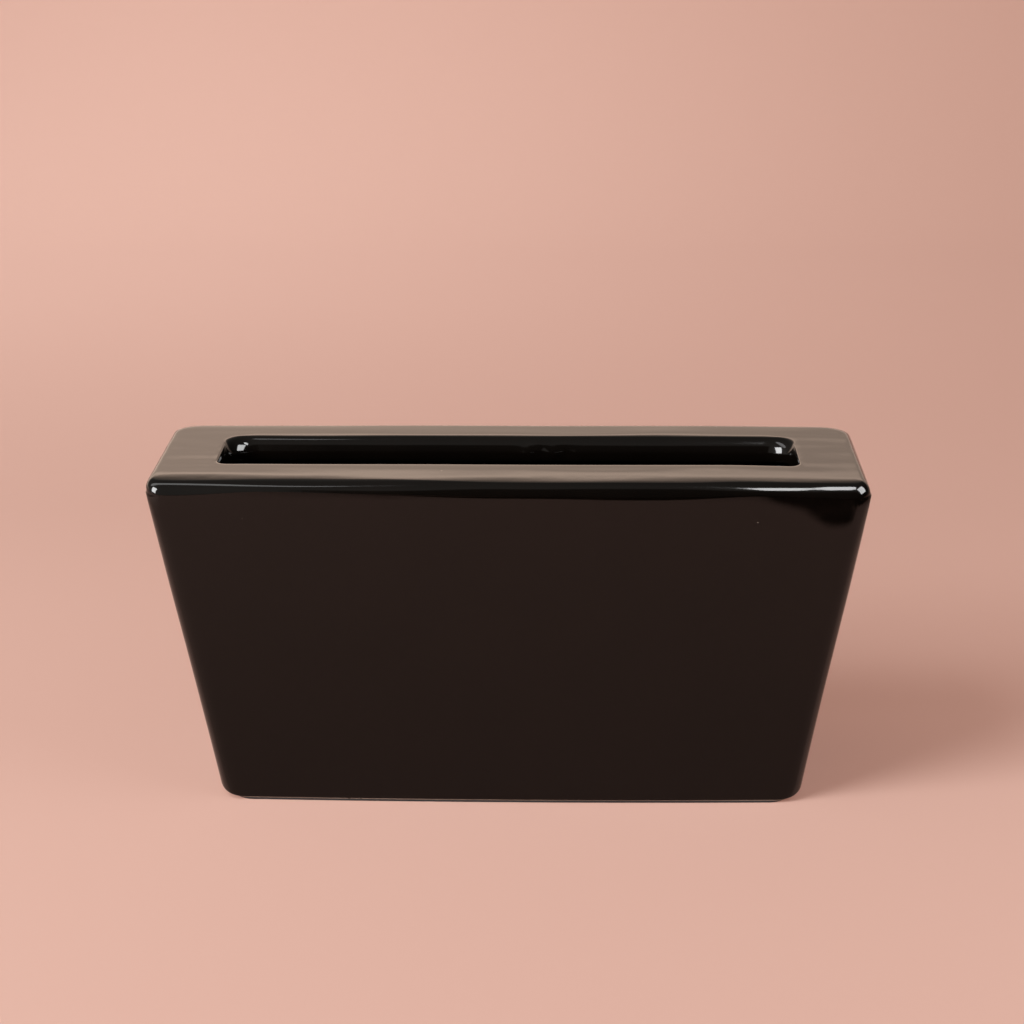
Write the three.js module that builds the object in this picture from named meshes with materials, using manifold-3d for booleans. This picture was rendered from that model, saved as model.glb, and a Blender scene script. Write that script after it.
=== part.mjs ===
// Rectangular flower pot: a slab-built stoneware planter with a narrow planting slot, coated in gloss glaze.
// Millimetres, +Z up. The origin is on the ground under the middle of the pot, +X runs along its length
// and -Y is its front.

import * as THREE from 'three';
import { mergeVertices } from 'three/addons/utils/BufferGeometryUtils.js';
import Module from 'manifold-3d';

const wasm = await Module();
wasm.setup();

// Outside of the glazed pot
const potLength = 240; // between the ends, just under the rounding of the rim
const footLength = 199; // between the same end faces, carried down to the ground
const potDepth = 69; // front to back, beside the ends
const sideBow = 1.5; // swell of each long side at mid-length
const potHeight = 116;

// Rounding of the outside
const cornerRadius = 5; // upright corners
const footEndRadius = 7.5; // ends, where they turn under
const footSideRadius = 1.6; // long sides, where they turn under
const rimRounding = 4.5; // height of the rounding round the rim
const rimEndReach = 4.5; // how far that rounding reaches in from the ends
const rimSideReach = 10; // how far it reaches in from the long sides

// Bands of rim round the planting slot
const endBand = 21.6;
const frontBand = 24;
const backBand = 22.2;
const slotCornerRadius = 5.5;
const slotLipRadius = 5.4; // rounding of its upper edge
const slotUnderRadius = 2; // rounding of its lower edge

// Clay slabs, seam coils and glaze
const wallThickness = 6.5;
const baseThickness = 7;
const rimThickness = 6;
const coilSize = 6; // legs of the fillet that a coil makes in a seam
const coilEdge = 0.3; // blunt edge of that fillet
const glazeThickness = 0.8;
const glazeLine = 1.1; // height above the ground at which the glaze stops
const slipGap = 0.3; // joint of slip between neighbouring pieces

// Steps along the curves
const cornerSteps = 4;
const bowSteps = 4;
const roundingSteps = 4;
const cutMargin = 20; // how far a cutting shape runs past what it cuts

// Values that follow from the sizes above
const quarterTurn = Math.PI / 2;
const skin = glazeThickness + slipGap; // from the glazed surface to the clay
const wallTop = potHeight - skin - rimThickness - slipGap;
const wallFoot = baseThickness + slipGap;
const endSlope = (potLength - footLength) / 2 / (potHeight - rimRounding);
const endLean = Math.hypot(1, endSlope); // level distance through a leaning end, for each millimetre square to it
const liningGap = slipGap + coilEdge + slipGap; // from the clay walls to the glaze inside, which clears the coils
const coveRadius = coilSize - coilEdge;

const glazeMaterial = new THREE.MeshStandardMaterial({ color: 0x14100e, roughness: 0.1, metalness: 0 });
const clayMaterial = new THREE.MeshStandardMaterial({ color: 0xb9a58d, roughness: 0.9, metalness: 0 });

// Half the pot's length at a height, a distance inside its leaning ends
function endAt(z, inset) {
  return footLength / 2 + endSlope * z - inset * endLean;
}

// Points on a quarter circle, anticlockwise from a starting angle
function cornerArc(x, y, radius, start) {
  return new THREE.EllipseCurve(x, y, radius, radius, start, start + quarterTurn).getPoints(cornerSteps);
}

// Points between the ends of a long side that swells outwards, none where it is straight
function bowedSide(fromX, toX, y, bow) {
  if (bow === 0) {
    return [];
  }
  const from = new THREE.Vector2(fromX, y);
  const middle = new THREE.Vector2((fromX + toX) / 2, y + 2 * bow);
  const to = new THREE.Vector2(toX, y);
  return new THREE.QuadraticBezierCurve(from, middle, to).getPoints(bowSteps).slice(1, -1);
}

// Plan outline with rounded corners, anticlockwise from the front left corner
function roundedOutline(halfLength, halfDepth, radius, bow, centreY = 0) {
  const x = halfLength - radius;
  const y = halfDepth - radius;
  return [
    ...cornerArc(-x, centreY - y, radius, -2 * quarterTurn),
    ...bowedSide(-x, x, centreY - halfDepth, -bow),
    ...cornerArc(x, centreY - y, radius, -quarterTurn),
    ...cornerArc(x, centreY + y, radius, 0),
    ...bowedSide(x, -x, centreY + halfDepth, bow),
    ...cornerArc(-x, centreY + y, radius, quarterTurn),
  ];
}

// Plan outline with sharp corners, as slabs meet, anticlockwise from the front left corner
function sharpOutline(halfLength, halfDepth, bow) {
  return [
    new THREE.Vector2(-halfLength, -halfDepth),
    ...bowedSide(-halfLength, halfLength, -halfDepth, -bow),
    new THREE.Vector2(halfLength, -halfDepth),
    new THREE.Vector2(halfLength, halfDepth),
    ...bowedSide(halfLength, -halfLength, halfDepth, bow),
    new THREE.Vector2(-halfLength, halfDepth),
  ];
}

// Closed mesh through a stack of outlines, lowest first, that all have the same number of points
function loft(levels) {
  const count = levels[0].outline.length;
  const last = (levels.length - 1) * count;
  const positions = levels.flatMap(({ outline, z }) => outline.flatMap(({ x, y }) => [x, y, z]));
  const faces = [];
  for (let level = 0; level < last; level += count) {
    for (let point = 0; point < count; point += 1) {
      const here = level + point;
      const next = level + ((point + 1) % count);
      faces.push(here, next, next + count, here, next + count, here + count);
    }
  }
  for (const [a, b, c] of THREE.ShapeUtils.triangulateShape(levels[0].outline, [])) {
    faces.push(c, b, a);
  }
  for (const [a, b, c] of THREE.ShapeUtils.triangulateShape(levels.at(-1).outline, [])) {
    faces.push(last + a, last + b, last + c);
  }
  const geometry = new THREE.BufferGeometry();
  geometry.setAttribute('position', new THREE.Float32BufferAttribute(positions, 3));
  geometry.setIndex(faces);
  return geometry;
}

// Solid body for cutting and joining, from a closed mesh
function solid(geometry) {
  geometry.deleteAttribute('normal');
  geometry.deleteAttribute('uv');
  const merged = mergeVertices(geometry);
  return new wasm.Manifold(
    new wasm.Mesh({
      numProp: 3,
      vertProperties: new Float32Array(merged.attributes.position.array),
      triVerts: new Uint32Array(merged.index.array),
    }),
  );
}

// Block that is wider than the pot, between two heights and between two distances front to back
function slice(lowZ, highZ, lowY = -potDepth, highY = potDepth) {
  const width = 2 * Math.max(potLength, footLength);
  const block = new THREE.BoxGeometry(width, highY - lowY, highZ - lowZ);
  block.translate(0, (lowY + highY) / 2, (lowZ + highZ) / 2);
  return solid(block);
}

// Block on one side of the middle of the pot, at its left (-1) or its right (1)
function half(side) {
  const width = Math.max(potLength, footLength);
  const block = new THREE.BoxGeometry(width, 2 * potDepth, 2 * potHeight);
  block.translate((side * width) / 2, 0, 0);
  return solid(block);
}

// Whole pot without its hollow, a distance inside the glazed surface, down to the ground
function potBody(inset) {
  const levels = [];
  const addLevel = (z, endRounding, sideRounding) => {
    const halfLength = endAt(z, inset) - endRounding;
    const halfDepth = potDepth / 2 - inset - sideRounding;
    levels.push({ z, outline: roundedOutline(halfLength, halfDepth, cornerRadius - inset, sideBow) });
  };
  const endRadius = footEndRadius - inset;
  const sideRadius = footSideRadius - inset;
  if (inset > 0) {
    addLevel(0, endRadius, sideRadius);
  }
  for (let step = 0; step <= roundingSteps; step += 1) {
    const angle = (step / roundingSteps) * quarterTurn;
    const z = footEndRadius - endRadius * Math.cos(angle);
    const belowCentre = Math.max(footSideRadius - z, 0);
    const sideRounding = sideRadius - Math.sqrt(Math.max(sideRadius ** 2 - belowCentre ** 2, 0));
    addLevel(z, endRadius * (1 - Math.sin(angle)), sideRounding);
  }
  for (let step = 0; step <= roundingSteps; step += 1) {
    const angle = (step / roundingSteps) * quarterTurn;
    const z = potHeight - rimRounding + (rimRounding - inset) * Math.sin(angle);
    const rounding = 1 - Math.cos(angle);
    addLevel(z, (rimEndReach - inset) * rounding, (rimSideReach - inset) * rounding);
  }
  return solid(loft(levels));
}

// Planting slot through the rim, with rounded lips above and below, a distance behind its glazed surface
function plantingSlot(inset) {
  const halfLength = potLength / 2 - endBand;
  const halfWidth = (potDepth - frontBand - backBand) / 2;
  const centreY = (frontBand - backBand) / 2;
  const underside = wallTop - glazeThickness;
  const lip = slotLipRadius - inset;
  const lowerLip = slotUnderRadius - inset;
  const levels = [];
  const addLevel = (z, flare) => {
    const outline = roundedOutline(halfLength + flare, halfWidth + flare, slotCornerRadius + flare, 0, centreY);
    levels.push({ z, outline });
  };
  addLevel(underside - slotUnderRadius, slotUnderRadius);
  for (let step = 0; step <= roundingSteps; step += 1) {
    const angle = (step / roundingSteps) * quarterTurn;
    const z = underside + slotUnderRadius - lowerLip * Math.cos(angle);
    addLevel(z, slotUnderRadius - lowerLip * Math.sin(angle));
  }
  for (let step = 0; step <= roundingSteps; step += 1) {
    const angle = (step / roundingSteps) * quarterTurn;
    addLevel(potHeight - slotLipRadius + lip * Math.sin(angle), slotLipRadius - lip * Math.cos(angle));
  }
  addLevel(potHeight + cutMargin, slotLipRadius);
  return solid(loft(levels));
}

// Hollow between the slabs, with sharp seams, between two heights and a distance inside the clay
function slabHollow(lowZ, highZ, inset) {
  const behind = skin + wallThickness + inset;
  const halfDepth = potDepth / 2 - behind;
  const level = (z) => ({ z, outline: sharpOutline(endAt(z, behind), halfDepth, sideBow) });
  return solid(loft([level(lowZ), level(highZ)]));
}

// Hollow that the glaze lines, rounded over the seam coils, a distance inside the glaze's clay side
function linedHollow(inset) {
  const behind = skin + wallThickness + liningGap + inset;
  const radius = coilSize + slipGap - liningGap - inset;
  const floorCentre = baseThickness + slipGap + coilSize;
  const levels = [];
  const addLevel = (z, rounding) => {
    const halfDepth = potDepth / 2 - behind - rounding;
    levels.push({ z, outline: roundedOutline(endAt(z, behind) - rounding, halfDepth, radius, sideBow) });
  };
  for (let step = 0; step <= roundingSteps; step += 1) {
    const angle = (step / roundingSteps) * quarterTurn;
    addLevel(floorCentre - radius * Math.cos(angle), radius * (1 - Math.sin(angle)));
  }
  addLevel(wallTop - inset, 0);
  return solid(loft(levels));
}

// Fillet of clay round the floor seam
function baseCoil() {
  const top = wallFoot + coilSize;
  const levels = [];
  const addLevel = (z, reach) => {
    const behind = skin + wallThickness + slipGap + reach;
    const halfDepth = potDepth / 2 - behind;
    levels.push({ z, outline: roundedOutline(endAt(z, behind), halfDepth, coveRadius, sideBow) });
  };
  addLevel(wallFoot - coilSize, coilSize);
  for (let step = 0; step <= roundingSteps; step += 1) {
    const angle = (step / roundingSteps) * quarterTurn;
    addLevel(top - coveRadius * Math.cos(angle), coilSize - coveRadius * Math.sin(angle));
  }
  addLevel(top + coilSize, coilEdge);
  return slabHollow(wallFoot, top, slipGap).subtract(solid(loft(levels)));
}

// Fillet of clay in one upright seam, at the left (-1) or right (1) and the front (-1) or back (1)
function cornerCoil(sideX, sideY) {
  const behind = skin + wallThickness + slipGap;
  const section = (z) => {
    const x = endAt(z, behind);
    const y = potDepth / 2 - behind;
    const cove = cornerArc(x - coilSize, y - coilSize, coveRadius, 0);
    const points = [
      new THREE.Vector2(x, y),
      new THREE.Vector2(x - coilSize, y),
      ...cove.reverse(),
      new THREE.Vector2(x, y - coilSize),
    ];
    const placed = points.map((point) => new THREE.Vector2(sideX * point.x, sideY * point.y));
    return { z, outline: THREE.ShapeUtils.isClockWise(placed) ? placed.reverse() : placed };
  };
  return solid(loft([section(wallFoot + coilSize + slipGap), section(wallTop)]));
}

// Named mesh from a solid body
function piece(name, body, material) {
  const { vertProperties, triVerts } = body.getMesh();
  const geometry = new THREE.BufferGeometry();
  geometry.setAttribute('position', new THREE.BufferAttribute(vertProperties, 3));
  geometry.setIndex(new THREE.BufferAttribute(triVerts, 1));
  geometry.computeVertexNormals();
  const mesh = new THREE.Mesh(geometry, material);
  mesh.name = name;
  return mesh;
}

const pot = new THREE.Group();
pot.name = 'rectangular_flower_pot';

const clayBody = potBody(skin);
const seamY = potDepth / 2 - skin - wallThickness; // inside face of the front and back slabs, beside the ends

// Base slab: the floor, which carries the walls and stands on the ground with its bare underside
pot.add(piece('base_slab', clayBody.intersect(slice(-cutMargin, baseThickness)), clayMaterial));

// Walls: the front and back slabs run the full length, and the end slabs stand between them
const walls = clayBody
  .subtract(slabHollow(wallFoot - cutMargin, wallTop + cutMargin, 0))
  .intersect(slice(wallFoot, wallTop));
const endWalls = walls.intersect(slice(-cutMargin, potHeight, slipGap - seamY, seamY - slipGap));
pot.add(piece('front_slab', walls.intersect(slice(-cutMargin, potHeight, -potDepth, -seamY)), clayMaterial));
pot.add(piece('back_slab', walls.intersect(slice(-cutMargin, potHeight, seamY, potDepth)), clayMaterial));
pot.add(piece('left_end_slab', endWalls.intersect(half(-1)), clayMaterial));
pot.add(piece('right_end_slab', endWalls.intersect(half(1)), clayMaterial));

// Seam coils: fillets of clay that fill the inside seams
pot.add(piece('base_seam_coil', baseCoil(), clayMaterial));
for (const [sideY, row] of [[-1, 'front'], [1, 'back']]) {
  for (const [sideX, end] of [[-1, 'left'], [1, 'right']]) {
    pot.add(piece(`corner_seam_coil_${row}_${end}`, cornerCoil(sideX, sideY), clayMaterial));
  }
}

// Rim slab: the thick flat top with the planting slot through it, laid on the walls
const rim = clayBody.intersect(slice(wallTop + slipGap, potHeight + cutMargin)).subtract(plantingSlot(skin));
pot.add(piece('rim_slab', rim, clayMaterial));

// Glaze coat: all of the glazed pot that is neither air nor the space of the clay, above the bare foot
const glazedPot = potBody(0).subtract(plantingSlot(0)).subtract(linedHollow(glazeThickness));
const claySpace = potBody(glazeThickness).subtract(plantingSlot(glazeThickness)).subtract(linedHollow(0));
const glaze = glazedPot.subtract(claySpace).subtract(slice(-cutMargin, glazeLine));
pot.add(piece('glaze_coat', glaze, glazeMaterial));

export default pot;
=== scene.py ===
import math

import bmesh
import bpy
from mathutils import Matrix, Vector, noise


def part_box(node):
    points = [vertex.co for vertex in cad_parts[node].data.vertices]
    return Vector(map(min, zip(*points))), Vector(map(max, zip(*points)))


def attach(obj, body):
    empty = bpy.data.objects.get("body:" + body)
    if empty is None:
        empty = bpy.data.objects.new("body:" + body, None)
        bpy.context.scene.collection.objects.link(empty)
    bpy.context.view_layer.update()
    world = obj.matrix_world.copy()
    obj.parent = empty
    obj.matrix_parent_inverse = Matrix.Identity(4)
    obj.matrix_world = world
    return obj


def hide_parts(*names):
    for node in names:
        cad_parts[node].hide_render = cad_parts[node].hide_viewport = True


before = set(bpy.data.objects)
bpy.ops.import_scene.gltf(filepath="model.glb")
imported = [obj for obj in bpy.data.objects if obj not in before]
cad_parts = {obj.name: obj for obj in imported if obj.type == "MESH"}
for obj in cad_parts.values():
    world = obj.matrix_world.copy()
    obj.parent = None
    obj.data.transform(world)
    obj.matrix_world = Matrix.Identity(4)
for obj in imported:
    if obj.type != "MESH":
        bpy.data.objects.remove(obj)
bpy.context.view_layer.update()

# Clay slabs and seam coils
# Buff stoneware, rolled into slabs and joined with slip while leather-hard, with rolled coils worked into
# the inside seams. The glaze hides these, so they keep the frame's shapes. The base and rim slabs follow.
MM = 0.001
CLAY_BUFF = "#B39C8C"
CLAY_TOASTED = "#9C8271"
CLAY_IRON = "#5B4636"
# Painted shade: the colour that the foot's lowest edge takes, where the shade under the pot falls
FOOT_PAINTED_SHADE = "#150C08"
CLAY_GRIT = 0.6 * MM
CLAY_TOOTH = 0.15 * MM
CLAY_TOAST_PATCH = 40 * MM
CLAY_FLECK_SPACING = 5 * MM
CLAY_FLECK_CORE = 0.06
CLAY_FLECK_EDGE = 0.12
FOOT_SHADE_HEIGHT = 0.82 * MM
FOOT_SHADE_BLUR = 0.1 * MM


def hex_colour(code):
    """Linear colour from an sRGB hex value."""
    channels = [int(code[place:place + 2], 16) / 255 for place in (1, 3, 5)]
    linear = [c / 12.92 if c <= 0.04045 else ((c + 0.055) / 1.055) ** 2.4 for c in channels]
    return (*linear, 1.0)


def add_node(tree, kind, inputs=None, **settings):
    """New node with its settings, its input values and the sockets linked into it."""
    node = tree.nodes.new(kind)
    for name, value in settings.items():
        setattr(node, name, value)
    for name, value in (inputs or {}).items():
        if isinstance(value, bpy.types.NodeSocket):
            tree.links.new(value, node.inputs[name])
        else:
            node.inputs[name].default_value = value
    return node


# Bare stoneware: matt and open, toasted in soft patches by the kiln, with iron flecks and a gritty tooth,
# and turned near black below a set height as painted shade along the foot's lowest edge, where it meets the
# floor
stoneware = bpy.data.materials.new("bare_fired_stoneware")
stoneware.use_nodes = True
tree = stoneware.node_tree
place = add_node(tree, "ShaderNodeTexCoord")
toast = add_node(
    tree, "ShaderNodeTexNoise",
    {"Vector": place.outputs["Object"], "Scale": 1 / CLAY_TOAST_PATCH, "Detail": 3.0},
)
flecks = add_node(
    tree, "ShaderNodeTexVoronoi", {"Vector": place.outputs["Object"], "Scale": 1 / CLAY_FLECK_SPACING}
)
fleck_size = add_node(
    tree, "ShaderNodeMapRange",
    {"Value": flecks.outputs["Distance"], "From Min": CLAY_FLECK_CORE, "From Max": CLAY_FLECK_EDGE,
     "To Min": 1.0, "To Max": 0.0},
)
body = add_node(
    tree, "ShaderNodeMix",
    {0: toast.outputs["Fac"], 6: hex_colour(CLAY_BUFF), 7: hex_colour(CLAY_TOASTED)}, data_type="RGBA",
)
speckled = add_node(
    tree, "ShaderNodeMix",
    {0: fleck_size.outputs["Result"], 6: body.outputs[2], 7: hex_colour(CLAY_IRON)}, data_type="RGBA",
)
height = add_node(tree, "ShaderNodeSeparateXYZ", {"Vector": place.outputs["Object"]})
# Painted shade: below a set height the clay turns near black along the foot's edge on the floor
above_foot_shade = add_node(
    tree, "ShaderNodeMapRange",
    {"Value": height.outputs["Z"], "From Min": FOOT_SHADE_HEIGHT - FOOT_SHADE_BLUR,
     "From Max": FOOT_SHADE_HEIGHT + FOOT_SHADE_BLUR},
)
fired = add_node(
    tree, "ShaderNodeMix",
    {0: above_foot_shade.outputs["Result"], 6: hex_colour(FOOT_PAINTED_SHADE), 7: speckled.outputs[2]},
    data_type="RGBA",
)
grit = add_node(
    tree, "ShaderNodeTexNoise", {"Vector": place.outputs["Object"], "Scale": 1 / CLAY_GRIT, "Detail": 4.0}
)
tooth = add_node(
    tree, "ShaderNodeBump", {"Height": grit.outputs["Fac"], "Distance": CLAY_TOOTH, "Strength": 0.6}
)
shader = tree.nodes["Principled BSDF"]
shader.inputs["Roughness"].default_value = 0.88
tree.links.new(fired.outputs[2], shader.inputs["Base Color"])
tree.links.new(tooth.outputs["Normal"], shader.inputs["Normal"])

HIDDEN_CLAY = [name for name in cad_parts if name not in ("base_slab", "rim_slab", "glaze_coat")]
for name in HIDDEN_CLAY:
    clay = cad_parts[name].data
    clay.materials.clear()
    clay.materials.append(stoneware)

# Base slab
# The floor of the pot, cut from the same rolled clay. Its foot is sponged clean of glaze, so that it won't
# stick to the kiln shelf, and shows all round as a thin pale line over a dark edge that is painted shade.
GLAZE_LOW, GLAZE_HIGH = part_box("glaze_coat")
BASE_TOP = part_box("base_slab")[1].z
SIDE_BOW = 1.5 * MM
HALF_LENGTH = GLAZE_HIGH.x
HALF_DEPTH = GLAZE_HIGH.y - SIDE_BOW
POT_HEIGHT = GLAZE_HIGH.z
FOOT_LENGTH = 200.4 * MM
FOOT_SKEW = 0.55 * MM
FOOT_END_RADIUS = 5.4 * MM
FOOT_SIDE_RADIUS = 1.6 * MM
FOOT_BEVEL = 0.1 * MM
FOOT_EDGE = 0.05 * MM
FOOT_GAP = 0.1 * MM
GLAZE_LINE = GLAZE_LOW.z
GLAZE_STEP = 0.3 * MM
CLAY_INSET = 1.1 * MM
CORNER_RADIUS = 7 * MM
ROLL_HEIGHT = 5 * MM
LONG_STEPS = 120
SHORT_STEPS = 22
CORNER_STEPS = 8


def new_loop():
    """New mesh with one loop of vertices round the pot, each with its corner and the way it faces."""
    size = 1.0
    rounding = 0.5
    reach = size - rounding
    bm = bmesh.new()
    bmesh.ops.create_grid(bm, x_segments=1, y_segments=1, size=size)
    bmesh.ops.bevel(
        bm, geom=bm.verts[:], offset=rounding, segments=CORNER_STEPS, profile=0.5, affect="VERTICES",
        material=-1,
    )
    bmesh.ops.delete(bm, geom=bm.faces[:], context="FACES_ONLY")
    straight = [edge for edge in bm.edges if edge.calc_length() > rounding]
    long_runs = [edge for edge in straight if abs(edge.verts[0].co.x - edge.verts[1].co.x) > rounding]
    short_runs = [edge for edge in straight if edge not in long_runs]
    bmesh.ops.subdivide_edges(bm, edges=long_runs, cuts=LONG_STEPS - 1)
    bmesh.ops.subdivide_edges(bm, edges=short_runs, cuts=SHORT_STEPS - 1)
    core = bm.verts.layers.float_vector.new("core")
    facing = bm.verts.layers.float_vector.new("facing")
    for vert in bm.verts:
        inner = Vector((max(-reach, min(reach, vert.co.x)), max(-reach, min(reach, vert.co.y)), 0))
        vert[core] = inner / reach
        vert[facing] = (vert.co - inner).normalized()
    return bm


def lay(bm, verts, outline, high, end_high=None, front_high=None):
    """Lays a loop on a rounded rectangle, given its end, front and back faces and its two corner radii.

    The ends may lie higher than the sides. An end that leans is a function of height, and a front edge that
    varies along the pot is a function of x.
    """
    end, front, back, front_radius, back_radius = outline
    core = bm.verts.layers.float_vector["core"]
    facing = bm.verts.layers.float_vector["facing"]
    for vert in verts:
        share, out = vert[core], vert[facing]
        along = share.x * HALF_LENGTH
        backward = (share.y + 1) / 2
        radius = front_radius + (back_radius - front_radius) * backward
        core_front = (front(along) if callable(front) else front) + front_radius
        core_back = back - back_radius
        z = high if front_high is None else front_high(along) + (high - front_high(along)) * backward
        if end_high is not None:
            z += (end_high - high) * out.x ** 2
        half = end(z) if callable(end) else end
        vert.co.x = share.x * (half - radius) + out.x * radius
        vert.co.y = core_front + (core_back - core_front) * backward + out.y * radius
        vert.co.z = z


def grow(bm, loop, *placing):
    """Extrudes a loop of edges and lays the new loop on the next outline."""
    grown = bmesh.ops.extrude_edge_only(bm, edges=loop)["geom"]
    verts = {part for part in grown if isinstance(part, bmesh.types.BMVert)}
    lay(bm, verts, *placing)
    edges = [part for part in grown if isinstance(part, bmesh.types.BMEdge)]
    return [edge for edge in edges if set(edge.verts) <= verts]


end_slope = (HALF_LENGTH - FOOT_LENGTH / 2) / (POT_HEIGHT - ROLL_HEIGHT)
lean = math.atan(end_slope)


def end_at(z):
    """Half the pot's length at a height."""
    return FOOT_LENGTH / 2 + end_slope * z


def swell(co):
    """Move of a point as the long sides swell at mid-length and the foot stands a little to the right."""
    out = SIDE_BOW * (1 - (co.x / end_at(co.z)) ** 2) * co.y / HALF_DEPTH
    return Vector((FOOT_SKEW * (1 - co.z / POT_HEIGHT), out, 0))


end_centre = end_at(FOOT_END_RADIUS * (1 - math.sin(lean))) - FOOT_END_RADIUS * math.cos(lean)


def foot_end(z):
    """Half the length of the foot at a height, where the ends turn under."""
    below = min(FOOT_END_RADIUS - z, FOOT_END_RADIUS)
    return end_centre + math.sqrt(FOOT_END_RADIUS ** 2 - below ** 2)


bm = new_loop()
loop = bm.edges[:]
foot_side = HALF_DEPTH - GLAZE_STEP
foot_top = GLAZE_LINE - FOOT_GAP
bottom_side = foot_side - FOOT_BEVEL
bottom = (foot_end(0) - FOOT_BEVEL, -bottom_side, bottom_side, CORNER_RADIUS, CORNER_RADIUS)
lay(bm, bm.verts, bottom, 0)
for z in (FOOT_EDGE, foot_top):
    outline = (foot_end(z) - GLAZE_STEP, -foot_side, foot_side, CORNER_RADIUS, CORNER_RADIUS)
    loop = grow(bm, loop, outline, z)
inner_side = HALF_DEPTH - CLAY_INSET
inner_end = foot_end(foot_top) - CLAY_INSET
loop = grow(bm, loop, (inner_end, -inner_side, inner_side, CORNER_RADIUS, CORNER_RADIUS), foot_top)
inner_end = foot_end(BASE_TOP) - CLAY_INSET / math.cos(lean)
loop = grow(bm, loop, (inner_end, -inner_side, inner_side, CORNER_RADIUS, CORNER_RADIUS), BASE_TOP)
bmesh.ops.holes_fill(bm, edges=bm.edges)
bmesh.ops.recalc_face_normals(bm, faces=bm.faces)
for vert in bm.verts:
    vert.co += swell(vert.co)
slab = bpy.data.meshes.new("base_slab_bare")
bm.to_mesh(slab)
bm.free()
base = bpy.data.objects.new("base_slab_bare", slab)
bpy.context.collection.objects.link(base)
slab.materials.append(stoneware)
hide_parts("base_slab")
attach(base, "root")

# Rim slab
# The thick top plate with the planting slot cut through it, laid on the four walls with slip. Its outer
# corners are sponged round before the glaze goes on, so that the glaze doesn't run thin there.
RIM_LOW, RIM_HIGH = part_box("rim_slab")
CORNER_REACH = 14 * MM
CORNER_SPONGED = 1.3 * MM
WELD = 0.01 * MM


def clamped(value):
    """Value kept between 0 and 1."""
    return max(0.0, min(1.0, value))


def eased(value, start, stop):
    """Smooth step from 0 at start to 1 at stop."""
    share = clamped((value - start) / (stop - start))
    return share * share * (3 - 2 * share)


bm = bmesh.new()
bm.from_mesh(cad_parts["rim_slab"].data)
bmesh.ops.remove_doubles(bm, verts=bm.verts, dist=WELD)
for vert in bm.verts:
    near_end = eased(abs(vert.co.x), HALF_LENGTH - CORNER_REACH, HALF_LENGTH - CLAY_INSET)
    near_side = eased(abs(vert.co.y), HALF_DEPTH - CORNER_REACH, HALF_DEPTH - CLAY_INSET)
    sponged = CORNER_SPONGED * near_end * near_side
    vert.co.x -= math.copysign(sponged, vert.co.x)
    vert.co.y -= math.copysign(sponged, vert.co.y)
    vert.co.z -= sponged / 2 * eased(vert.co.z, RIM_LOW.z, RIM_HIGH.z)
plate = bpy.data.meshes.new("rim_slab_bare")
bm.to_mesh(plate)
bm.free()
rim = bpy.data.objects.new("rim_slab_bare", plate)
bpy.context.collection.objects.link(rim)
plate.materials.clear()
plate.materials.append(stoneware)
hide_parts("rim_slab")
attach(rim, "root")

# Glaze coat
# A warm black gloss glaze, poured over the bisque-fired pot: outside, rim, slot and inside. It melts to a
# thin glassy skin that rounds every edge and keeps the waver of the hand-worked clay under it.
GLAZE_THICKNESS = 0.8 * MM
ROLL_BACK = 7 * MM
ROLL_END = 2.7 * MM
ROLL_FRONT_CORNER = 5.2 * MM
ROLL_BACK_CORNER = 7.2 * MM
ROLL_FRONT_TIGHTER = 0.5
ROLL_BACK_WIDER = 2 * MM
EDGE_DEPTH = 4.2 * MM
EDGE_DEPTH_CHANGES = (
    (1.5 * MM, -115 * MM, -65 * MM),
    (-2.5 * MM, -50 * MM, 0),
    (1.4 * MM, 60 * MM, 90 * MM),
    (-0.3 * MM, 95 * MM, 118 * MM),
)
EDGE_HEIGHT = 2.5 * MM
EDGE_HEIGHT_CHANGES = (
    (2.5 * MM, -100 * MM, 45 * MM),
    (-2.6 * MM, 50 * MM, 110 * MM),
)
EDGE_CORNER_HEIGHT = 1.8 * MM
EDGE_CORNER_START = 84 * MM
EDGE_CORNER_STOP = 119 * MM
EDGE_WAVE = 42 * MM
EDGE_WAVER = 0.6 * MM
EDGE_PATTERN = 7.0


def changing(measure, x, changes):
    """A measure that changes along the pot, by each amount between two places."""
    for amount, start, stop in changes:
        measure += amount * eased(x, start, stop)
    return measure


def edge_depth(x):
    """How far the rolled front edge reaches in over the rim: most left of the middle, least right of it."""
    return changing(EDGE_DEPTH, x, EDGE_DEPTH_CHANGES)


def edge_height(x):
    """How far the rolled front edge reaches down the front: most right of the middle and at the corners."""
    waver = EDGE_WAVER * noise.noise((x / EDGE_WAVE, 0.0, EDGE_PATTERN))
    corner = EDGE_CORNER_HEIGHT * eased(abs(x), EDGE_CORNER_START, EDGE_CORNER_STOP)
    return changing(EDGE_HEIGHT, x, EDGE_HEIGHT_CHANGES) + corner + waver


# Foot, rolled under broadly at the ends and hardly at the sides
bm = new_loop()
loop = bm.edges[:]
side_start = math.asin(1 - GLAZE_LINE / FOOT_SIDE_RADIUS)
end_start = math.asin(1 - GLAZE_LINE / FOOT_END_RADIUS)
FOOT_STEPS = 8
for step in range(FOOT_STEPS + 1):
    share = step / FOOT_STEPS
    side_turn = side_start * (1 - share)
    end_turn = end_start + (lean - end_start) * share
    side = HALF_DEPTH - FOOT_SIDE_RADIUS * (1 - math.cos(side_turn))
    side_high = FOOT_SIDE_RADIUS * (1 - math.sin(side_turn))
    end_high = FOOT_END_RADIUS * (1 - math.sin(end_turn))
    end = end_centre + FOOT_END_RADIUS * math.cos(end_turn)
    outline = (end, -side, side, CORNER_RADIUS, CORNER_RADIUS)
    if step == 0:
        lay(bm, bm.verts, outline, side_high, end_high)
    else:
        loop = grow(bm, loop, outline, side_high, end_high)

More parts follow.
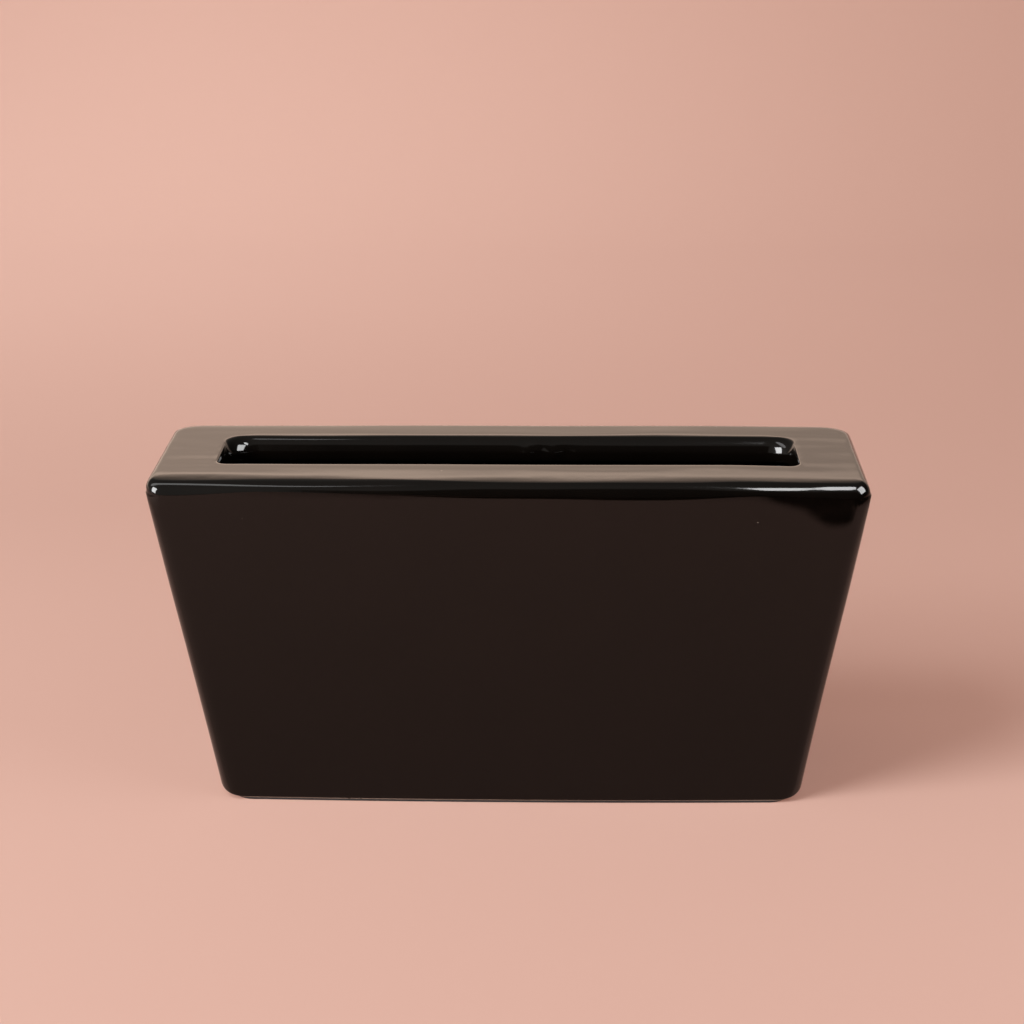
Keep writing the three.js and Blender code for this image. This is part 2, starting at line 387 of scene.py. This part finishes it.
# Walls, with upright corners that tighten under the front of the rim and widen a little under its back
FRONT_TIGHTENS_FROM = 0.75
BACK_WIDENS_FROM = 0.6
roll_start = math.atan(end_slope * ROLL_HEIGHT / ROLL_END)
wall_top = POT_HEIGHT - ROLL_HEIGHT - ROLL_HEIGHT * math.sin(roll_start)
WALL_STEPS = 30
for step in range(1, WALL_STEPS + 1):
    share = step / WALL_STEPS
    high = side_high + (wall_top - side_high) * share
    leaning_high = end_high + (wall_top - end_high) * share
    tighter = eased(share, FRONT_TIGHTENS_FROM, 1)
    wider = eased(share, BACK_WIDENS_FROM, 1)
    front_radius = CORNER_RADIUS + (ROLL_FRONT_CORNER - CORNER_RADIUS) * tighter
    back_radius = CORNER_RADIUS + (ROLL_BACK_CORNER - CORNER_RADIUS) * wider
    outline = (end_at, -HALF_DEPTH, HALF_DEPTH, front_radius, back_radius)
    loop = grow(
        bm, loop, outline, high, leaning_high,
        lambda x: side_high + (POT_HEIGHT - edge_height(x) - side_high) * share,
    )

# Outer edge of the rim, a soft roll all round
ROLL_STEPS = 20
end_widest = end_at(wall_top) + ROLL_END * (1 - math.cos(roll_start))
for step in range(1, ROLL_STEPS + 1):
    share = step / ROLL_STEPS
    turn = math.pi / 2 * share
    end_turn = turn - roll_start * (1 - share)
    over = 1 - math.cos(turn)
    end = end_widest - ROLL_END * (1 - math.cos(end_turn))
    back = HALF_DEPTH - ROLL_BACK * over
    front_radius = ROLL_FRONT_CORNER * (1 - ROLL_FRONT_TIGHTER * over)
    back_radius = ROLL_BACK_CORNER + ROLL_BACK_WIDER * over
    outline = (end, lambda x: edge_depth(x) * over - HALF_DEPTH, back, front_radius, back_radius)
    high = POT_HEIGHT - ROLL_HEIGHT * (1 - math.sin(end_turn))
    loop = grow(bm, loop, outline, high, None, lambda x: POT_HEIGHT - edge_height(x) * (1 - math.sin(turn)))

# Rim, flat in to the lip of the slot
SLOT_END = 97.6 * MM
SLOT_FRONT = -10.2 * MM
SLOT_BACK = 12 * MM
SLOT_NEAR_CORNER = 2.5 * MM
SLOT_NEAR_WIDENS = 0.3
SLOT_FAR_CORNER = 9 * MM
SLOT_FAR_TIGHTENS = 0.8
LIP_END = 1.6 * MM
LIP_FRONT = 5.8 * MM
LIP_BACK = 4.3 * MM
LIP_HEIGHT = 5.6 * MM
RIM_STEPS = 12


def slot_outline(end_flare, front_flare, back_flare):
    """Outline of the slot, widened at its ends, front and back."""
    near = SLOT_NEAR_CORNER + SLOT_NEAR_WIDENS * front_flare
    far = SLOT_FAR_CORNER - SLOT_FAR_TIGHTENS * back_flare
    return SLOT_END + end_flare, SLOT_FRONT - front_flare, SLOT_BACK + back_flare, near, far


def part_way(first, last, share):
    """Outline part of the way from one outline to another."""
    return [start + (stop - start) * share for start, stop in zip(first, last)]


rolled = (end, 0, back, front_radius, back_radius)
lip = slot_outline(LIP_END, LIP_FRONT, LIP_BACK)
for step in range(1, RIM_STEPS + 1):
    share = step / RIM_STEPS
    end, _, back, front_radius, back_radius = part_way(rolled, lip, share)
    outline = (
        end, lambda x: (edge_depth(x) - HALF_DEPTH) * (1 - share) + lip[1] * share,
        back, front_radius, back_radius,
    )
    loop = grow(bm, loop, outline, POT_HEIGHT)

# Lip of the slot, and its throat
LIP_STEPS = 14
RIM_THICKNESS = 8.2 * MM
UNDER_RADIUS = 1.5 * MM
UNDER_STEPS = 4
for step in range(1, LIP_STEPS + 1):
    turn = math.pi / 2 * step / LIP_STEPS
    left = 1 - math.sin(turn)
    outline = slot_outline(LIP_END * left, LIP_FRONT * left, LIP_BACK * left)
    loop = grow(bm, loop, outline, POT_HEIGHT - LIP_HEIGHT * (1 - math.cos(turn)))
for step in range(UNDER_STEPS + 1):
    turn = math.pi / 2 * step / UNDER_STEPS
    out = UNDER_RADIUS * (1 - math.cos(turn))
    high = POT_HEIGHT - RIM_THICKNESS + UNDER_RADIUS * (1 - math.sin(turn))
    loop = grow(bm, loop, slot_outline(out, out, out), high)

# Underside of the rim, the walls of the hollow, and its floor, which closes to a seam along the middle
HOLLOW_BEHIND = 9.4 * MM
HOLLOW_END = 10.2 * MM
HOLLOW_FLOOR = 9 * MM
HOLLOW_RADIUS = 5.2 * MM
HOLLOW_TIGHTENS = 0.8
HOLLOW_STEPS = 6
hollow_side = HALF_DEPTH - HOLLOW_BEHIND
throat = slot_outline(out, out, out)


def hollow_end(z):
    """Half the length of the hollow at a height."""
    return end_at(z) - HOLLOW_END / math.cos(lean)


top = (hollow_end(high), -hollow_side, hollow_side, HOLLOW_RADIUS, HOLLOW_RADIUS)
for step in range(1, HOLLOW_STEPS + 1):
    share = step / HOLLOW_STEPS
    loop = grow(bm, loop, part_way(throat, top, share), high)
deep = HOLLOW_FLOOR + HOLLOW_RADIUS
for step in range(1, 2 * HOLLOW_STEPS + 1):
    z = high + (deep - high) * step / (2 * HOLLOW_STEPS)
    loop = grow(bm, loop, (hollow_end(z), -hollow_side, hollow_side, HOLLOW_RADIUS, HOLLOW_RADIUS), z)
for step in range(1, HOLLOW_STEPS + 1):
    turn = math.pi / 2 * step / HOLLOW_STEPS
    out = HOLLOW_RADIUS * (1 - math.cos(turn))
    side = hollow_side - out
    radius = HOLLOW_RADIUS * (1 - HOLLOW_TIGHTENS * step / HOLLOW_STEPS)
    outline = (hollow_end(deep) - out, -side, side, radius, radius)
    loop = grow(bm, loop, outline, deep - HOLLOW_RADIUS * math.sin(turn))
floor_end, floor_side, floor_radius = hollow_end(deep) - out, side, radius
for step in range(1, HOLLOW_STEPS + 1):
    share = 1 - step / HOLLOW_STEPS
    side = floor_side * share
    radius = floor_radius * share
    loop = grow(bm, loop, (floor_end - floor_side + side, -side, side, radius, radius), HOLLOW_FLOOR)
bmesh.ops.remove_doubles(bm, verts=bm.verts, dist=WELD)
bmesh.ops.recalc_face_normals(bm, faces=bm.faces)

# Hand-worked surface: the ends swell, the rim droops to its front and back, every face wavers, the front is
# pressed in under the right end of the rim, and the slot's far lip is lumpy where it was worked
bm.normal_update()
END_BOW = 0.75 * MM
END_BOW_RISE = 2.6
RIM_SKEW = 0.4 * MM
RIM_SKEW_DEPTH = 5 * MM
DROOP_START = 16 * MM
DROOP_STOP = 6 * MM
CROWN_FRONT_DROP = 0.9 * MM
CROWN_FRONT_REACH = 13.8 * MM
RIGHT_CORNER_DROP = 0.9 * MM
RIGHT_CORNER_START = 72 * MM
LEFT_CORNER_DROP = 0.4 * MM
LEFT_CORNER_START = 80 * MM
CORNER_STOP = 116 * MM
CROWN_BACK_DROP = 0.6 * MM
CROWN_BACK_REACH = 12 * MM
SLOT_DROP = 0.4 * MM
SLOT_REACH = 5 * MM
SLOT_FLAT = 2 * MM
SLOT_FADE = 9 * MM
WAVE_LENGTH = 70 * MM
WAVE_HEIGHT = 0.2 * MM
STREAK_LENGTH = 34 * MM
STREAK_WIDTH = 7 * MM
STREAK_HEIGHT = 0.1 * MM
STREAK_DEPTH = 3 * MM
STREAK_PATTERN = 3.0
LUMP_SIZE = 3 * MM
LUMP_HEIGHT = 0.5 * MM
LUMP_STRETCH = 0.5
LUMPS_GROW_TO = 6 * MM
LUMPS_FADE_FROM = 18 * MM
LUMPS_FADE_TO = 28 * MM
LUMPS_TOP = 0.5 * MM
LUMPS_FULL = 2 * MM
PRESSED_START = 78 * MM
PRESSED_STOP = 118 * MM
PRESSED_DEPTH = 14 * MM
PRESSED_WAVE = 11 * MM
PRESSED_RAGGED = 0.35
PRESSED_PATTERN = 5.0
PRESSED_BLEND = 4 * MM
PRESSED_FACE_START = 1.5
PRESSED_FACE_STOP = 0.2
PRESSED_TILT = math.tan(math.radians(3.2))


def droop(co):
    """Fall of the rim towards its front and back edges, its front corners and the back of the slot."""
    front_share = 1 - clamped((HALF_DEPTH + co.y) / CROWN_FRONT_REACH)
    back_share = 1 - clamped((HALF_DEPTH - co.y) / CROWN_BACK_REACH)
    slot_share = 1 - clamped((co.y - SLOT_BACK - SLOT_FLAT) / SLOT_REACH)
    slot_share *= eased(co.y, 0, SLOT_BACK / 2) * (1 - eased(abs(co.x), SLOT_END - SLOT_FADE, SLOT_END))
    slopes = CROWN_FRONT_DROP * front_share ** 2 + CROWN_BACK_DROP * back_share ** 2
    slopes += SLOT_DROP * slot_share ** 2
    corners = RIGHT_CORNER_DROP * eased(co.x, RIGHT_CORNER_START, CORNER_STOP)
    corners += LEFT_CORNER_DROP * eased(-co.x, LEFT_CORNER_START, CORNER_STOP)
    frontward = clamped(0.5 - 0.5 * co.y / HALF_DEPTH)
    on_top = eased(co.z, POT_HEIGHT - DROOP_START, POT_HEIGHT - DROOP_STOP)
    return (slopes + corners * frontward) * on_top


def pressed(co):
    """How far the front is pressed in under the right end of the rim."""
    ragged = 1 + PRESSED_RAGGED * noise.noise((co.x / PRESSED_WAVE, PRESSED_PATTERN, 0.0))
    depth = PRESSED_DEPTH * ragged * eased(co.x, PRESSED_START, PRESSED_STOP)
    past = co.z - (POT_HEIGHT - edge_height(co.x) - depth)
    if co.y > 0 or past < 0 or depth == 0:
        return 0.0
    roll = edge_depth(co.x)
    face = eased(-co.y, HALF_DEPTH - PRESSED_FACE_START * roll, HALF_DEPTH - PRESSED_FACE_STOP * roll)
    return PRESSED_TILT * min(past, depth) * eased(past, 0, PRESSED_BLEND) * face


def lumps(co):
    """How far the slot's far lip stands out or sinks in, to the right of its middle."""
    if not 0 < co.y < SLOT_BACK + LIP_BACK or co.z < POT_HEIGHT - RIM_THICKNESS:
        return 0.0
    where = eased(co.x, 0, LUMPS_GROW_TO) * (1 - eased(co.x, LUMPS_FADE_FROM, LUMPS_FADE_TO))
    below = eased(POT_HEIGHT - co.z, LUMPS_TOP, LUMPS_FULL)
    pattern = noise.noise((co.x / LUMP_SIZE, co.y / LUMP_SIZE, LUMP_STRETCH * co.z / LUMP_SIZE))
    return LUMP_HEIGHT * where * below * pattern


for vert in bm.verts:
    co = vert.co.copy()
    belly = END_BOW * math.sin(math.pi * clamped(co.z / POT_HEIGHT) ** END_BOW_RISE)
    skew = RIM_SKEW * eased(co.z, POT_HEIGHT - RIM_SKEW_DEPTH, POT_HEIGHT)
    wave = noise.noise(co / WAVE_LENGTH) * WAVE_HEIGHT
    on_rim = eased(co.z, POT_HEIGHT - STREAK_DEPTH, POT_HEIGHT)
    drawn = noise.noise((co.x / STREAK_LENGTH, co.y / STREAK_WIDTH, STREAK_PATTERN))
    streak = drawn * STREAK_HEIGHT * on_rim
    vert.co += vert.normal * (wave + streak + lumps(co)) + swell(co)
    vert.co.x += belly * co.x / end_at(co.z) - skew
    vert.co.y += pressed(co)
    vert.co.z -= droop(co)
for face in bm.faces:
    face.smooth = True
skin = bpy.data.meshes.new("glaze_coat_gloss")
bm.to_mesh(skin)
bm.free()
glaze = bpy.data.objects.new("glaze_coat_gloss", skin)
bpy.context.collection.objects.link(glaze)
coat = glaze.modifiers.new("coat", "SOLIDIFY")
coat.thickness = GLAZE_THICKNESS
coat.offset = -1

# Gloss black glaze: a glassy skin, almost black under a clear reflection, with a faint ripple, faint warm
# clouding where it lies thin, and here and there a pale speck of grit that it did not cover
GLAZE_BLACK = "#050403"
GLAZE_WARM = "#0B0705"
GLAZE_SPECK = "#C9BDB0"
CLOUD_SIZE = 30 * MM
RIPPLE_SIZE = 6 * MM
RIPPLE_HEIGHT = 0.04 * MM
SPECK_SPACING = 20 * MM
SPECK_SIZE = 0.2 * MM
SPECK_CORE = 0.6
GLAZE_SMOOTHEST = 0.05
GLAZE_DULLEST = 0.1
gloss = bpy.data.materials.new("gloss_black_stoneware_glaze")
gloss.use_nodes = True
tree = gloss.node_tree
place = add_node(tree, "ShaderNodeTexCoord")
cloud = add_node(
    tree, "ShaderNodeTexNoise", {"Vector": place.outputs["Object"], "Scale": 1 / CLOUD_SIZE, "Detail": 4.0}
)
clouded = add_node(
    tree, "ShaderNodeMix",
    {0: cloud.outputs["Fac"], 6: hex_colour(GLAZE_BLACK), 7: hex_colour(GLAZE_WARM)}, data_type="RGBA",
)
grains = add_node(
    tree, "ShaderNodeTexVoronoi", {"Vector": place.outputs["Object"], "Scale": 1 / SPECK_SPACING}
)
grain_size = add_node(
    tree, "ShaderNodeMapRange",
    {"Value": grains.outputs["Distance"], "From Min": SPECK_CORE * SPECK_SIZE / SPECK_SPACING,
     "From Max": SPECK_SIZE / SPECK_SPACING, "To Min": 1.0, "To Max": 0.0},
)
specked = add_node(
    tree, "ShaderNodeMix",
    {0: grain_size.outputs["Result"], 6: clouded.outputs[2], 7: hex_colour(GLAZE_SPECK)}, data_type="RGBA",
)
sheen = add_node(
    tree, "ShaderNodeMapRange",
    {"Value": cloud.outputs["Fac"], "To Min": GLAZE_SMOOTHEST, "To Max": GLAZE_DULLEST},
)
ripple = add_node(
    tree, "ShaderNodeTexNoise", {"Vector": place.outputs["Object"], "Scale": 1 / RIPPLE_SIZE, "Detail": 2.0}
)
rippled = add_node(
    tree, "ShaderNodeBump", {"Height": ripple.outputs["Fac"], "Distance": RIPPLE_HEIGHT, "Strength": 0.5}
)
shader = tree.nodes["Principled BSDF"]
shader.inputs["IOR"].default_value = 1.38
tree.links.new(specked.outputs[2], shader.inputs["Base Color"])
tree.links.new(sheen.outputs["Result"], shader.inputs["Roughness"])
tree.links.new(rippled.outputs["Normal"], shader.inputs["Normal"])
skin.materials.append(gloss)
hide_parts("glaze_coat")
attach(glaze, "root")

# Floor
# A plain blush-coloured sheet of matt paper, flat under the pot and curving up gently behind it. Light that
# comes through the sheet lifts its shadows for the camera and in gloss, and lights nothing else.
FLOOR_BLUSH = "#B3988E"
FLOOR_GLOW = "#81584B"
FLOOR_HALF_WIDTH = 6.0
FLOOR_FRONT = -6.0
CURVE_START = 0.8
CURVE_RADIUS = 1.6
CURVE_ANGLE = math.radians(24)
CURVE_STEPS = 24
bm = bmesh.new()
start = [bm.verts.new((side * FLOOR_HALF_WIDTH, FLOOR_FRONT, 0)) for side in (-1, 1)]
edge = bm.edges.new(start)
grown = bmesh.ops.extrude_edge_only(bm, edges=[edge])["geom"]
verts = [part for part in grown if isinstance(part, bmesh.types.BMVert)]
bmesh.ops.translate(bm, vec=(0, CURVE_START - FLOOR_FRONT, 0), verts=verts)
edge = [part for part in grown if isinstance(part, bmesh.types.BMEdge)]
bmesh.ops.spin(
    bm, geom=edge + verts, cent=(0, CURVE_START, CURVE_RADIUS), axis=(1, 0, 0), angle=CURVE_ANGLE,
    steps=CURVE_STEPS,
)
bmesh.ops.recalc_face_normals(bm, faces=bm.faces)
for face in bm.faces:
    face.smooth = True
sheet = bpy.data.meshes.new("floor")
bm.to_mesh(sheet)
bm.free()
ground = bpy.data.objects.new("floor", sheet)
bpy.context.collection.objects.link(ground)

# Matt blush paper: soft and even, with no shine of its own
paper = bpy.data.materials.new("matt_blush_paper")
paper.use_nodes = True
tree = paper.node_tree
shader = tree.nodes["Principled BSDF"]
shader.inputs["Base Color"].default_value = hex_colour(FLOOR_BLUSH)
shader.inputs["Emission Color"].default_value = hex_colour(FLOOR_GLOW)
ray = add_node(tree, "ShaderNodeLightPath")
looked_at = add_node(
    tree, "ShaderNodeMath", {0: ray.outputs["Is Camera Ray"], 1: ray.outputs["Is Glossy Ray"]},
    operation="MAXIMUM",
)
tree.links.new(looked_at.outputs["Value"], shader.inputs["Emission Strength"])
shader.inputs["Roughness"].default_value = 0.9
shader.inputs["Specular IOR Level"].default_value = 0.1
sheet.materials.append(paper)

# Black flag
# A black sheet with soft edges on the floor ahead of the pot, from left of the middle on, that only mirror
# reflections see; it stands in for the darkness ahead, and the lower part of the pot's top edge turns
# black.
# From it to the foot it thins out as painted shade in the reflection, and the front darkens towards the
# foot.
VELVET_BLACK = "#060606"
FLAG_START = -0.39
FLAG_LEFT = -0.2
FLAG_FRAY = 0.12
FLAG_WIDTH = 8.0
FLAG_LIFT = 1 * MM
FOOT_SHADE_IN_GLOSS = 0.26
FOOT_SHADE_IN_GLOSS_REACH = 0.42
bm = bmesh.new()
bmesh.ops.create_grid(bm, x_segments=1, y_segments=1, size=FLAG_WIDTH / 2)
bmesh.ops.translate(bm, vec=(0, -HALF_DEPTH - FLAG_WIDTH / 2, FLAG_LIFT), verts=bm.verts)
cloth = bpy.data.meshes.new("black_flag")
bm.to_mesh(cloth)
bm.free()
flag = bpy.data.objects.new("black_flag", cloth)
flag.visible_camera = False
flag.visible_diffuse = False
flag.visible_shadow = False
flag.visible_transmission = False
bpy.context.collection.objects.link(flag)

# Black velvet: a deep pile that takes in nearly all the light, thinning towards the pot as painted shade
velvet = bpy.data.materials.new("black_velvet")
velvet.use_nodes = True
tree = velvet.node_tree
shader = tree.nodes["Principled BSDF"]
shader.inputs["Base Color"].default_value = hex_colour(VELVET_BLACK)
shader.inputs["Roughness"].default_value = 1.0
shader.inputs["Specular IOR Level"].default_value = 0.0
place = add_node(tree, "ShaderNodeTexCoord")
spot = add_node(tree, "ShaderNodeSeparateXYZ", {"Vector": place.outputs["Object"]})
ahead = add_node(
    tree, "ShaderNodeMapRange",
    {"Value": spot.outputs["Y"], "From Min": FLAG_START, "From Max": FLAG_START - FLAG_FRAY},
)
across = add_node(
    tree, "ShaderNodeMapRange",
    {"Value": spot.outputs["X"], "From Min": FLAG_LEFT, "From Max": FLAG_LEFT + FLAG_FRAY},
)
cover = add_node(
    tree, "ShaderNodeMath", {0: ahead.outputs["Result"], 1: across.outputs["Result"]}, operation="MULTIPLY"
)
# Painted shade in gloss: the reflected floor darkens from the flag towards the pot's foot, fading out
# beside the pot
reflected_foot_shade = add_node(
    tree, "ShaderNodeMapRange",
    {"Value": spot.outputs["Y"], "From Min": -HALF_DEPTH, "From Max": FLAG_START, "To Min": FOOT_SHADE_IN_GLOSS,
     "To Max": 0.0},
)
sideways = add_node(tree, "ShaderNodeMath", {0: spot.outputs["X"]}, operation="ABSOLUTE")
between = add_node(
    tree, "ShaderNodeMapRange",
    {"Value": sideways.outputs["Value"], "From Min": HALF_LENGTH, "From Max": FOOT_SHADE_IN_GLOSS_REACH, "To Min": 1.0,
     "To Max": 0.0},
)
mirrored_foot_shade = add_node(
    tree, "ShaderNodeMath", {0: reflected_foot_shade.outputs["Result"], 1: between.outputs["Result"]}, operation="MULTIPLY"
)
dimming = add_node(
    tree, "ShaderNodeMath", {0: cover.outputs["Value"], 1: mirrored_foot_shade.outputs["Value"]}, operation="MAXIMUM"
)
tree.links.new(dimming.outputs["Value"], shader.inputs["Alpha"])
cloth.materials.append(velvet)

# Light
# A soft box and a large panel at the left, a low card at the right and a weak fill light the scene, with
# one more soft box on the sweep behind. Only gloss mirrors the strips over the pot, the windows, the pale
# wall behind it and the dim room ahead.
POT_MIDDLE = Vector((0, 0, 0.06))
SWEEP_MIDDLE = Vector((-0.33, 1.6, 0.5))


def soft_box(name, shape, place, target, width, height, brightness):
    """Flat soft light that faces a target, with the brightness that a mirror would show."""
    lamp = bpy.data.lights.new(name, "AREA")
    lamp.shape = shape
    lamp.size = width
    lamp.size_y = height
    area = width * height if shape == "RECTANGLE" else math.pi / 4 * width * height
    lamp.energy = brightness * math.pi * area
    box = bpy.data.objects.new(name, lamp)
    box.location = place
    box.rotation_euler = (target - Vector(place)).to_track_quat("-Z", "Y").to_euler()
    box.visible_camera = False
    bpy.context.collection.objects.link(box)
    return box


lighting = (
    soft_box("key_light", "RECTANGLE", (-0.63, -0.37, 1.11), POT_MIDDLE, 0.42, 0.42, 10.9),
    soft_box("left_panel", "RECTANGLE", (-1.36, -0.81, 0.86), POT_MIDDLE, 0.9, 0.6, 16.4),
    soft_box("right_fill", "RECTANGLE", (0.45, -0.16, 0.32), POT_MIDDLE, 0.45, 0.45, 1.4),
    soft_box("sweep_light", "RECTANGLE", (-0.33, 0.65, 0.9), SWEEP_MIDDLE, 0.5, 0.5, 10.5),
)
for lamp in lighting:
    lamp.visible_glossy = False
mirrored_only = (
    soft_box("left_strip", "ELLIPSE", (-0.99, 0.06, 1.5), Vector((-0.99, 0, 0.06)), 1.6, 0.5, 3.5),
    soft_box("right_strip", "ELLIPSE", (0.37, -0.46, 1.5), Vector((0.37, 0, 0.06)), 0.25, 0.6, 20.0),
    soft_box("left_window", "RECTANGLE", (-1.2, -0.9, 0.85), POT_MIDDLE, 0.8, 1.2, 25.0),
    soft_box("right_window", "RECTANGLE", (1.15, -0.5, 1.2), POT_MIDDLE, 0.85, 1.1, 18.0),
)
for lamp in mirrored_only:
    lamp.visible_diffuse = False

# Brightness of the studio in a mirror, by degrees from the horizon behind the pot, over the top, to the one
# ahead. The room ahead is dim to the right of an edge a little left of the middle. The fill comes mostly
# from ahead and from the left, and the camera sees a plain pink backdrop.
WALL_TINT = hex_colour("#FFE0CA")
ROOM_TINT = hex_colour("#FFF8F0")
STUDIO_PEAK = 2.6
STUDIO_LEFTWARD = 0.8
ROOM_EDGE_LEFT = -0.14
ROOM_EDGE_RIGHT = -0.06
ROOM_EDGE_TURN = math.radians(126)
FILL_TINT = hex_colour("#FFE1D0")
FILL_LEVEL = 0.27
FILL_FRONTWARD = 0.18
FILL_LEFTWARD = 0.3
BACKDROP_PINK = hex_colour("#D9AC9B")
STUDIO = (
    (0, 1.5, WALL_TINT), (10, 1.35, WALL_TINT), (14, 1.27, WALL_TINT), (19, 1.27, WALL_TINT),
    (23.5, 2.6, WALL_TINT), (26, 1.5, WALL_TINT), (30, 0.6, WALL_TINT),
    (37, 0.2, ROOM_TINT), (53, 0.16, ROOM_TINT), (80, 0.26, ROOM_TINT), (126, 0.36, ROOM_TINT),
    (134, 0.06, ROOM_TINT), (180, 0.03, ROOM_TINT),
)
world = bpy.data.worlds.new("studio")
world.use_nodes = True
tree = world.node_tree
tree.nodes.clear()
way = add_node(tree, "ShaderNodeTexCoord")
heading = add_node(tree, "ShaderNodeSeparateXYZ", {"Vector": way.outputs["Generated"]})
upward = add_node(tree, "ShaderNodeMath", {0: heading.outputs["Z"], 1: 0.0}, operation="MAXIMUM")
over_top = add_node(
    tree, "ShaderNodeMath", {0: upward.outputs["Value"], 1: heading.outputs["Y"]}, operation="ARCTAN2"
)
room_edge = add_node(
    tree, "ShaderNodeMapRange",
    {"Value": heading.outputs["X"], "From Min": ROOM_EDGE_LEFT, "From Max": ROOM_EDGE_RIGHT,
     "To Min": ROOM_EDGE_TURN, "To Max": math.pi},
)
turned = add_node(
    tree, "ShaderNodeMath", {0: over_top.outputs["Value"], 1: room_edge.outputs["Result"]},
    operation="MINIMUM",
)
half_turn = add_node(tree, "ShaderNodeMath", {0: turned.outputs["Value"], 1: math.pi}, operation="DIVIDE")
ramp = add_node(tree, "ShaderNodeValToRGB", {"Fac": half_turn.outputs["Value"]})
while len(ramp.color_ramp.elements) < len(STUDIO):
    ramp.color_ramp.elements.new(0.5)
for stop, (degrees, brightness, tint) in zip(ramp.color_ramp.elements, STUDIO):
    stop.position = degrees / 180
    stop.color = [channel * brightness / STUDIO_PEAK for channel in tint[:3]] + [1.0]
leftward = add_node(
    tree, "ShaderNodeMath", {0: heading.outputs["X"], 1: -STUDIO_LEFTWARD * STUDIO_PEAK, 2: STUDIO_PEAK},
    operation="MULTIPLY_ADD",
)
studio = add_node(
    tree, "ShaderNodeBackground", {"Color": ramp.outputs["Color"], "Strength": leftward.outputs["Value"]}
)
frontward = add_node(
    tree, "ShaderNodeMath", {0: heading.outputs["Y"], 1: -FILL_FRONTWARD, 2: FILL_LEVEL},
    operation="MULTIPLY_ADD",
)
around = add_node(
    tree, "ShaderNodeMath", {0: heading.outputs["X"], 1: -FILL_LEFTWARD, 2: frontward.outputs["Value"]},
    operation="MULTIPLY_ADD", use_clamp=True,
)
fill = add_node(tree, "ShaderNodeBackground", {"Color": FILL_TINT, "Strength": around.outputs["Value"]})
backdrop = add_node(tree, "ShaderNodeBackground", {"Color": BACKDROP_PINK})
ray = add_node(tree, "ShaderNodeLightPath")
mirrored = add_node(
    tree, "ShaderNodeMixShader",
    {0: ray.outputs["Is Glossy Ray"], 1: fill.outputs[0], 2: studio.outputs[0]},
)
seen = add_node(
    tree, "ShaderNodeMixShader",
    {0: ray.outputs["Is Camera Ray"], 1: mirrored.outputs[0], 2: backdrop.outputs[0]},
)
add_node(tree, "ShaderNodeOutputWorld", {"Surface": seen.outputs[0]})
bpy.context.scene.world = world

# Camera
# Level with a seated eye, looking down on the rim, a little to the right of square on.
lens = bpy.data.cameras.new("camera")
FRAME_PIXELS = 1024
FOCAL_PIXELS = 2250
lens.sensor_width = 36
lens.lens = lens.sensor_width * FOCAL_PIXELS / FRAME_PIXELS
CAMERA_DISTANCE = 0.7349
CAMERA_HEIGHT = 0.3513
CAMERA_SIDE = 0.00075
CAMERA_PITCH = math.radians(19.323)
CAMERA_TURN = math.radians(1.546)
CAMERA_ROLL = math.radians(-0.30)
camera = bpy.data.objects.new("camera", lens)
upright = Matrix.Rotation(math.pi / 2 - CAMERA_PITCH, 4, "X") @ Matrix.Rotation(CAMERA_ROLL, 4, "Z")
stand = Matrix.Translation((CAMERA_SIDE, -CAMERA_DISTANCE, CAMERA_HEIGHT))
camera.matrix_world = Matrix.Rotation(CAMERA_TURN, 4, "Z") @ stand @ upright
bpy.context.collection.objects.link(camera)
bpy.context.scene.camera = camera
bpy.context.scene.view_settings.view_transform = "Standard"
